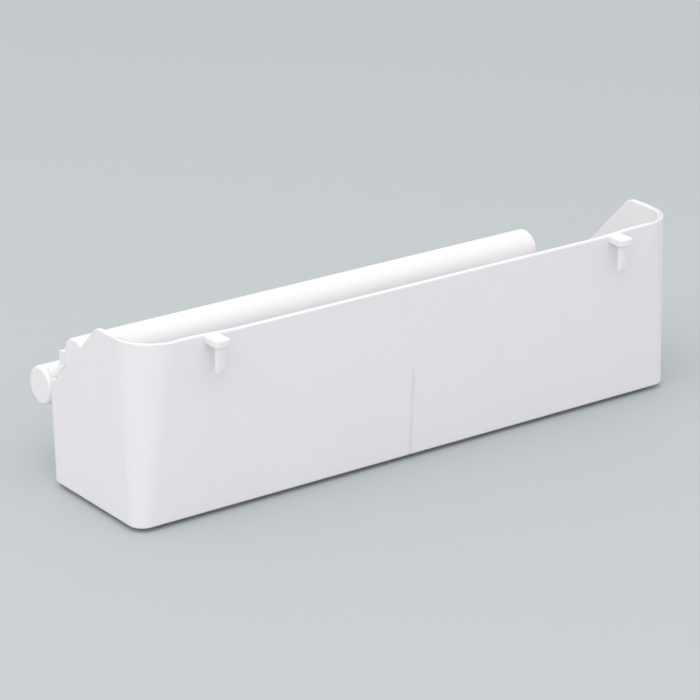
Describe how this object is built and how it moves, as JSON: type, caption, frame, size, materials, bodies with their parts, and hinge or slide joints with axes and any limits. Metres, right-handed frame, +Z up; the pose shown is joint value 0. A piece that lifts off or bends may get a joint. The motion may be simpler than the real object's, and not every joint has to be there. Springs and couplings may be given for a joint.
{
  "type": "counting tray",
  "caption": "Long white moulded counting trough with hook tabs on its high front rim, a divider, and two free guide rollers carried on its low rear wall.",
  "frame": {"origin": "middle of the bounding box in X and Y, on the surface that the feet stand on", "axes": "+X along the trough to the right, +Y from the high front wall to the low rear wall, +Z up"},
  "size_m": [0.23, 0.0826, 0.0665],
  "materials": {
    "white_plastic": "satin white, moulded",
    "zinc_steel": "zinc plated",
    "grey_rubber": "matt"
  },
  "bodies": {
    "tray": {"trough_shell": "white_plastic", "divider_plate": "white_plastic", "left_roller_bracket": "white_plastic", "right_roller_bracket": "white_plastic", "left_outer_washer": "zinc_steel", "left_outer_screw": "zinc_steel", "left_inner_washer": "zinc_steel", "left_inner_screw": "zinc_steel", "right_inner_washer": "zinc_steel", "right_inner_screw": "zinc_steel", "right_outer_washer": "zinc_steel", "right_outer_screw": "zinc_steel", "front_left_foot": "grey_rubber", "front_right_foot": "grey_rubber", "rear_left_foot": "grey_rubber", "rear_right_foot": "grey_rubber"},
    "upper_roller": {"upper_roller_tube": "white_plastic", "upper_roller_left_plug": "white_plastic", "upper_roller_right_plug": "white_plastic"},
    "lower_roller": {"lower_roller_tube": "white_plastic", "lower_roller_left_plug": "white_plastic", "lower_roller_right_plug": "white_plastic"}
  },
  "joints": [
    {"name": "upper_roller_turn", "type": "hinge", "parent": "tray", "child": "upper_roller", "pos_m": [0, 0.0106, 0.0492], "axis": [1, 0, 0], "continuous": true},
    {"name": "lower_roller_turn", "type": "hinge", "parent": "tray", "child": "lower_roller", "pos_m": [0, 0.0344, 0.0318], "axis": [1, 0, 0], "continuous": true}
  ]
}
